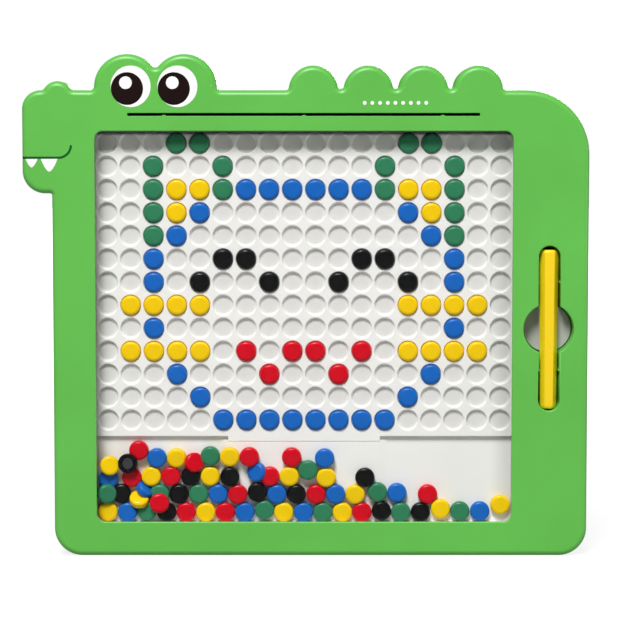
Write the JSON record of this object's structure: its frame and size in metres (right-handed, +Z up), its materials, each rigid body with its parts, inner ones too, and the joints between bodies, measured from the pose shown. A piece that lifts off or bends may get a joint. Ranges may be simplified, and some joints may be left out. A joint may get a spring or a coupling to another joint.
{
  "type": "magnetic bead drawing board",
  "caption": "Crocodile-shaped drawing board: a clear window over a panel of round pits, steel-cored beads loose in a well below, and a magnetic pen in a trough at one side.",
  "frame": {"origin": "under the middle of the bounding box, on the surface the board stands on", "axes": "+X to the viewer's right along the width, +Y from the front face to the back, +Z up"},
  "size_m": [0.2702, 0.018, 0.2404],
  "materials": {
    "green_shell": "satin injection-moulded ABS",
    "clear_pane": "clear polystyrene sheet",
    "white_tray": "satin moulded plastic",
    "white_cover": "fine textured moulded plastic",
    "yellow_pen": "gloss moulded plastic",
    "steel": "plain steel",
    "screw_steel": "zinc plated",
    "bead_red": "gloss moulded plastic",
    "bead_yellow": "gloss moulded plastic",
    "bead_green": "gloss moulded plastic",
    "bead_blue": "gloss moulded plastic",
    "bead_black": "gloss moulded plastic"
  },
  "bodies": {
    "root": {"front_housing": "green_shell", "window_pane": "clear_pane", "bead_tray": "white_tray", "rear_cover": "white_cover", "cover_screw_1": "screw_steel", "cover_screw_2": "screw_steel", "cover_screw_3": "screw_steel", "cover_screw_4": "screw_steel", "cover_screw_5": "screw_steel", "cover_screw_6": "screw_steel", "cover_screw_7": "screw_steel", "cover_screw_8": "screw_steel", "cover_screw_9": "screw_steel", "cover_screw_10": "screw_steel"},
    "pen": {"pen_barrel": "yellow_pen", "pen_magnet": "steel", "pen_plug": "yellow_pen"},
    "bead_black_r6_c6": {"bead_black_r6_c6_cap": "bead_black", "bead_black_r6_c6_core": "steel"},
    "bead_black_r6_c7": {"bead_black_r6_c7_cap": "bead_black", "bead_black_r6_c7_core": "steel"},
    "bead_black_r6_c12": {"bead_black_r6_c12_cap": "bead_black", "bead_black_r6_c12_core": "steel"},
    "bead_black_r6_c13": {"bead_black_r6_c13_cap": "bead_black", "bead_black_r6_c13_core": "steel"},
    "bead_black_r7_c5": {"bead_black_r7_c5_cap": "bead_black", "bead_black_r7_c5_core": "steel"},
    "bead_black_r7_c8": {"bead_black_r7_c8_cap": "bead_black", "bead_black_r7_c8_core": "steel"},
    "bead_black_r7_c11": {"bead_black_r7_c11_cap": "bead_black", "bead_black_r7_c11_core": "steel"},
    "bead_black_r7_c14": {"bead_black_r7_c14_cap": "bead_black", "bead_black_r7_c14_core": "steel"},
    "bead_red_r10_c7": {"bead_red_r10_c7_cap": "bead_red", "bead_red_r10_c7_core": "steel"},
    "bead_red_r10_c9": {"bead_red_r10_c9_cap": "bead_red", "bead_red_r10_c9_core": "steel"},
    "bead_red_r10_c10": {"bead_red_r10_c10_cap": "bead_red", "bead_red_r10_c10_core": "steel"},
    "bead_red_r10_c12": {"bead_red_r10_c12_cap": "bead_red", "bead_red_r10_c12_core": "steel"},
    "bead_red_r11_c8": {"bead_red_r11_c8_cap": "bead_red", "bead_red_r11_c8_core": "steel"},
    "bead_red_r11_c11": {"bead_red_r11_c11_cap": "bead_red", "bead_red_r11_c11_core": "steel"},
    "bead_red_loose": {"bead_red_loose_cap": "bead_red", "bead_red_loose_core": "steel"},
    "bead_yellow_loose": {"bead_yellow_loose_cap": "bead_yellow", "bead_yellow_loose_core": "steel"},
    "bead_leaf_green_loose": {"bead_leaf_green_loose_cap": "bead_green", "bead_leaf_green_loose_core": "steel"},
    "bead_blue_loose": {"bead_blue_loose_cap": "bead_blue", "bead_blue_loose_core": "steel"},
    "bead_black_loose": {"bead_black_loose_cap": "bead_black", "bead_black_loose_core": "steel"},
    "bead_black_overturned": {"bead_black_overturned_cap": "bead_black", "bead_black_overturned_core": "steel"}
  },
  "joints": [
    {"name": "pen_lift_out", "type": "slide", "parent": "root", "child": "pen", "axis": [0, -1, 0], "range_m": [0, 0.03]},
    {"name": "black_r6_c6_out_of_pit", "type": "slide", "parent": "root", "child": "bead_black_r6_c6", "axis": [0, -1, 0], "range_m": [0, 0.0022]},
    {"name": "black_r6_c7_out_of_pit", "type": "slide", "parent": "root", "child": "bead_black_r6_c7", "axis": [0, -1, 0], "range_m": [0, 0.0022]},
    {"name": "black_r6_c12_out_of_pit", "type": "slide", "parent": "root", "child": "bead_black_r6_c12", "axis": [0, -1, 0], "range_m": [0, 0.0022]},
    {"name": "black_r6_c13_out_of_pit", "type": "slide", "parent": "root", "child": "bead_black_r6_c13", "axis": [0, -1, 0], "range_m": [0, 0.0022]},
    {"name": "black_r7_c5_out_of_pit", "type": "slide", "parent": "root", "child": "bead_black_r7_c5", "axis": [0, -1, 0], "range_m": [0, 0.0022]},
    {"name": "black_r7_c8_out_of_pit", "type": "slide", "parent": "root", "child": "bead_black_r7_c8", "axis": [0, -1, 0], "range_m": [0, 0.0022]},
    {"name": "black_r7_c11_out_of_pit", "type": "slide", "parent": "root", "child": "bead_black_r7_c11", "axis": [0, -1, 0], "range_m": [0, 0.0022]},
    {"name": "black_r7_c14_out_of_pit", "type": "slide", "parent": "root", "child": "bead_black_r7_c14", "axis": [0, -1, 0], "range_m": [0, 0.0022]},
    {"name": "red_r10_c7_out_of_pit", "type": "slide", "parent": "root", "child": "bead_red_r10_c7", "axis": [0, -1, 0], "range_m": [0, 0.0022]},
    {"name": "red_r10_c9_out_of_pit", "type": "slide", "parent": "root", "child": "bead_red_r10_c9", "axis": [0, -1, 0], "range_m": [0, 0.0022]},
    {"name": "red_r10_c10_out_of_pit", "type": "slide", "parent": "root", "child": "bead_red_r10_c10", "axis": [0, -1, 0], "range_m": [0, 0.0022]},
    {"name": "red_r10_c12_out_of_pit", "type": "slide", "parent": "root", "child": "bead_red_r10_c12", "axis": [0, -1, 0], "range_m": [0, 0.0022]},
    {"name": "red_r11_c8_out_of_pit", "type": "slide", "parent": "root", "child": "bead_red_r11_c8", "axis": [0, -1, 0], "range_m": [0, 0.0022]},
    {"name": "red_r11_c11_out_of_pit", "type": "slide", "parent": "root", "child": "bead_red_r11_c11", "axis": [0, -1, 0], "range_m": [0, 0.0022]},
    {"name": "red_loose_draw_up", "type": "slide", "parent": "root", "child": "bead_red_loose", "axis": [0, 0, 1], "range_m": [0, 0.0105]},
    {"name": "yellow_loose_draw_up", "type": "slide", "parent": "root", "child": "bead_yellow_loose", "axis": [0, 0, 1], "range_m": [0, 0.0155]},
    {"name": "leaf_green_loose_draw_up", "type": "slide", "parent": "root", "child": "bead_leaf_green_loose", "axis": [0, 0, 1], "range_m": [0, 0.0185]},
    {"name": "blue_loose_draw_up", "type": "slide", "parent": "root", "child": "bead_blue_loose", "axis": [0, 0, 1], "range_m": [0, 0.0185]},
    {"name": "black_loose_draw_up", "type": "slide", "parent": "root", "child": "bead_black_loose", "axis": [0, -0.1292, 0.9916], "range_m": [0, 0.0125]},
    {"name": "black_overturned_draw_up", "type": "slide", "parent": "root", "child": "bead_black_overturned", "axis": [0, 0, 1], "range_m": [0, 0.04]}
  ]
}
